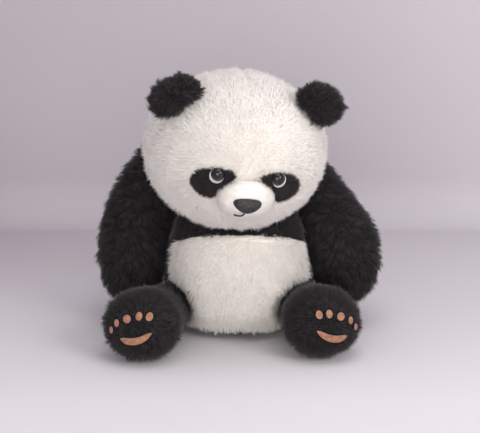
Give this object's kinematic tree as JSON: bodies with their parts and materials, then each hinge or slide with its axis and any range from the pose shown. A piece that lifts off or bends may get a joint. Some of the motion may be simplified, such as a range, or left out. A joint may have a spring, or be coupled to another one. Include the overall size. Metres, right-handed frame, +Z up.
{
  "type": "plush panda",
  "caption": "Sitting plush panda with stuffed head, ears, arms and legs sewn to a soft body, glossy eyes, a moulded nose and suede foot pads.",
  "frame": {"origin": "on the flat underside of the seat panel, on the plane the toy sits on, below the front of the body's centre", "axes": "+Z up; +Y from the face to the back, so the toy faces -Y; +X to the viewer's right as seen from the front. Nodes called left are at -X"},
  "size_m": [0.2968, 0.273, 0.2876],
  "materials": {
    "white_pile": "cream-white synthetic fur, pile about 7 mm, combed and slightly clumped",
    "black_pile": "soft black synthetic fur, pile 5 to 8 mm, slightly shaggy on the arms",
    "short_pile": "cream-white short dense velour, pile about 2 mm",
    "suede": "mottled tan imitation suede with fine nap and printed wear",
    "nose_plastic": "dark charcoal moulded plastic with a fine leather grain, soft sheen",
    "eye_plastic": "polished dark brown-black dome",
    "eye_white": "pale lilac-white felt-like backing disc behind the eye",
    "washer_plastic": "natural white moulded plastic",
    "stitching": "thick dark embroidery thread",
    "stuffing": "white polyester fibre filling",
    "pellet_cloth": "plain woven inner bag cloth"
  },
  "bodies": {
    "torso": {"belly_panel": "white_pile", "chest_yoke": "black_pile", "left_back_panel": "black_pile", "right_back_panel": "black_pile", "seat_panel": "black_pile", "body_stuffing": "stuffing", "pellet_bag": "pellet_cloth", "tail": "white_pile"},
    "neck": {"neck_plug": "stuffing"},
    "head": {"head_cover": "white_pile", "head_stuffing": "stuffing", "muzzle_cover": "short_pile", "muzzle_stuffing": "stuffing", "nose": "nose_plastic", "nose_washer": "washer_plastic", "mouth_stitch": "stitching", "left_eye": "eye_plastic", "left_eye_patch": "black_pile", "left_eye_rim": "eye_white", "left_eye_washer": "washer_plastic", "right_eye": "eye_plastic", "right_eye_patch": "black_pile", "right_eye_rim": "eye_white", "right_eye_washer": "washer_plastic"},
    "left_ear": {"left_ear_back": "black_pile", "left_ear_front": "black_pile"},
    "left_arm": {"left_arm_cover": "black_pile", "left_arm_stuffing": "stuffing"},
    "left_leg": {"left_leg_cover": "black_pile", "left_leg_stuffing": "stuffing", "left_foot_heel_pad": "suede", "left_foot_toe_pad_1": "suede", "left_foot_toe_pad_2": "suede", "left_foot_toe_pad_3": "suede", "left_foot_toe_pad_4": "suede", "left_foot_toe_pad_5": "suede"},
    "right_ear": {"right_ear_back": "black_pile", "right_ear_front": "black_pile"},
    "right_arm": {"right_arm_cover": "black_pile", "right_arm_stuffing": "stuffing"},
    "right_leg": {"right_leg_cover": "black_pile", "right_leg_stuffing": "stuffing", "right_foot_heel_pad": "suede", "right_foot_toe_pad_1": "suede", "right_foot_toe_pad_2": "suede", "right_foot_toe_pad_3": "suede", "right_foot_toe_pad_4": "suede", "right_foot_toe_pad_5": "suede"}
  },
  "joints": [
    {"name": "neck_turn", "type": "hinge", "parent": "torso", "child": "neck", "pos_m": [-0.002, -0.045, 0.206], "axis": [0, -0.5, 0.866], "range_deg": [-18, 18], "stiffness_Nm_per_rad": 0.6},
    {"name": "neck_nod", "type": "hinge", "parent": "neck", "child": "head", "pos_m": [-0.002, -0.045, 0.206], "axis": [-1, 0, 0], "range_deg": [0, 15], "stiffness_Nm_per_rad": 0.8},
    {"name": "left_arm_swing", "type": "hinge", "parent": "torso", "child": "left_arm", "pos_m": [-0.0765, 0.056, 0.165], "axis": [-1, 0, 0], "range_deg": [0, 32]},
    {"name": "right_arm_swing", "type": "hinge", "parent": "torso", "child": "right_arm", "pos_m": [0.068, 0.056, 0.15], "axis": [-1, 0, 0], "range_deg": [0, 32]},
    {"name": "left_leg_spread", "type": "hinge", "parent": "torso", "child": "left_leg", "pos_m": [-0.07, -0.01, 0.032], "axis": [0, 0, 1], "range_deg": [-8, 8], "stiffness_Nm_per_rad": 0.3},
    {"name": "right_leg_spread", "type": "hinge", "parent": "torso", "child": "right_leg", "pos_m": [0.068, -0.006, 0.032], "axis": [0, 0, 1], "range_deg": [-8, 8], "stiffness_Nm_per_rad": 0.3},
    {"name": "left_ear_flex", "type": "hinge", "parent": "head", "child": "left_ear", "pos_m": [-0.05052, -0.09058, 0.25642], "axis": [0.8431, -0.0231, 0.5373], "range_deg": [-15, 15], "stiffness_Nm_per_rad": 0.05},
    {"name": "right_ear_flex", "type": "hinge", "parent": "head", "child": "right_ear", "pos_m": [0.0676, -0.06858, 0.24628], "axis": [-0.6761, -0.3006, 0.6727], "range_deg": [-15, 15], "stiffness_Nm_per_rad": 0.05}
  ]
}
